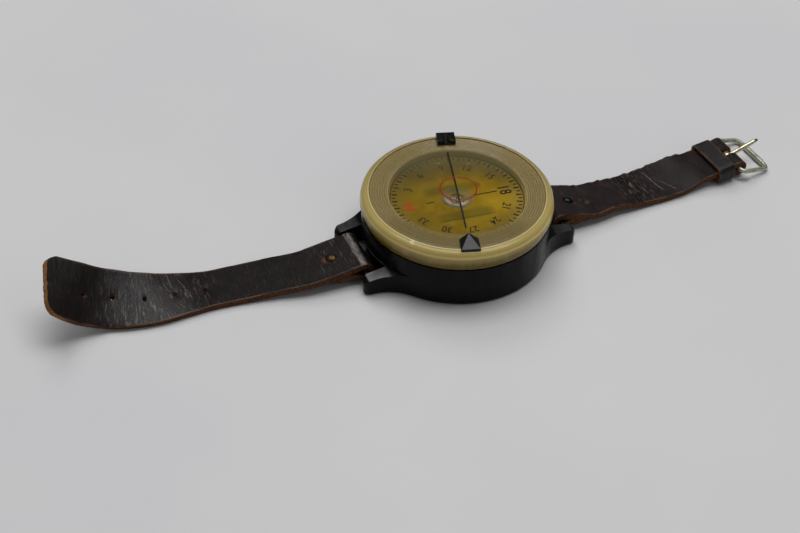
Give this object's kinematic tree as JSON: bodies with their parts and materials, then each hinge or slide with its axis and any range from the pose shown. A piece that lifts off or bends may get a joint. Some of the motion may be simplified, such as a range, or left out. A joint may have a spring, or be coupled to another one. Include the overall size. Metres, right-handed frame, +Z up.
{
  "type": "wrist compass",
  "caption": "Liquid-filled wrist compass: turning domed capsule with sights over a pivoted card, in a round lugged case on a two-part leather strap with keeper and wire buckle.",
  "frame": {"origin": "middle of the case's flat base, on the table", "axes": "+X from the case towards the buckle, +Y away from the wearer, +Z up through the window"},
  "size_m": [0.2452, 0.0606, 0.0229],
  "materials": {
    "case_plastic": "gloss",
    "bar_steel": "satin",
    "bowl_plastic": "satin",
    "window_plastic": "clear, yellowed",
    "seal_rubber": "matt",
    "sight_plastic": "gloss",
    "pivot_brass": "satin",
    "needle_steel": "polished",
    "card_face": "matt, printed",
    "hub_plastic": "clear",
    "jewel": "polished",
    "magnet_steel": "satin",
    "strap_leather": "worn",
    "rivet_brass": "worn",
    "rivet_black": "worn",
    "buckle_nickel": "tarnished",
    "tongue_brass": "worn"
  },
  "bodies": {
    "case": {"case": "case_plastic", "strap_bars": "bar_steel", "retaining_ring": "bar_steel"},
    "capsule": {"capsule_bowl": "bowl_plastic", "capsule_cap": "window_plastic", "seal_ring": "seal_rubber", "sight_point": "sight_plastic", "sight_notch": "sight_plastic", "filler_plug": "pivot_brass", "pivot_post": "pivot_brass", "pivot_needle": "needle_steel"},
    "card": {"compass_card": "card_face", "float_hub": "hub_plastic", "jewel_cup": "jewel", "magnet_cradle": "pivot_brass", "magnets": "magnet_steel", "hub_nut": "pivot_brass"},
    "long_strap": {"long_strap": "strap_leather", "long_strap_rivet": "rivet_brass", "long_strap_burr": "rivet_brass"},
    "short_strap": {"short_strap": "strap_leather", "short_strap_rivet": "rivet_black", "short_strap_burr": "rivet_black"},
    "keeper": {"keeper": "strap_leather"},
    "buckle": {"buckle_frame": "buckle_nickel"},
    "tongue": {"buckle_tongue": "tongue_brass"}
  },
  "joints": [
    {"name": "capsule_turn", "type": "hinge", "parent": "case", "child": "capsule", "pos_m": [0, 0, 0.0139], "axis": [0, 0, 1], "continuous": true},
    {"name": "card_swing", "type": "hinge", "parent": "capsule", "child": "card", "pos_m": [0, 0, 0.0178], "axis": [0, 0, 1], "continuous": true},
    {"name": "long_strap_swing", "type": "hinge", "parent": "case", "child": "long_strap", "pos_m": [-0.0337, 0, 0.0042], "axis": [0, 1, 0], "range_deg": [-80, 75]},
    {"name": "short_strap_swing", "type": "hinge", "parent": "case", "child": "short_strap", "pos_m": [0.0337, 0, 0.0042], "axis": [0, -1, 0], "range_deg": [-80, 75]},
    {"name": "keeper_slide", "type": "slide", "parent": "short_strap", "child": "keeper", "axis": [0.9916, 0.0868, 0.0958], "range_m": [-0.004, 0]},
    {"name": "buckle_swing", "type": "hinge", "parent": "short_strap", "child": "buckle", "pos_m": [0.1019, 0.0044, 0.00372], "axis": [0.0872, -0.9962, 0], "range_deg": [-45, 45]},
    {"name": "tongue_swing", "type": "hinge", "parent": "buckle", "child": "tongue", "pos_m": [0.1019, 0.0044, 0.00372], "axis": [0.0872, -0.9962, 0], "range_deg": [-20, 60]}
  ]
}
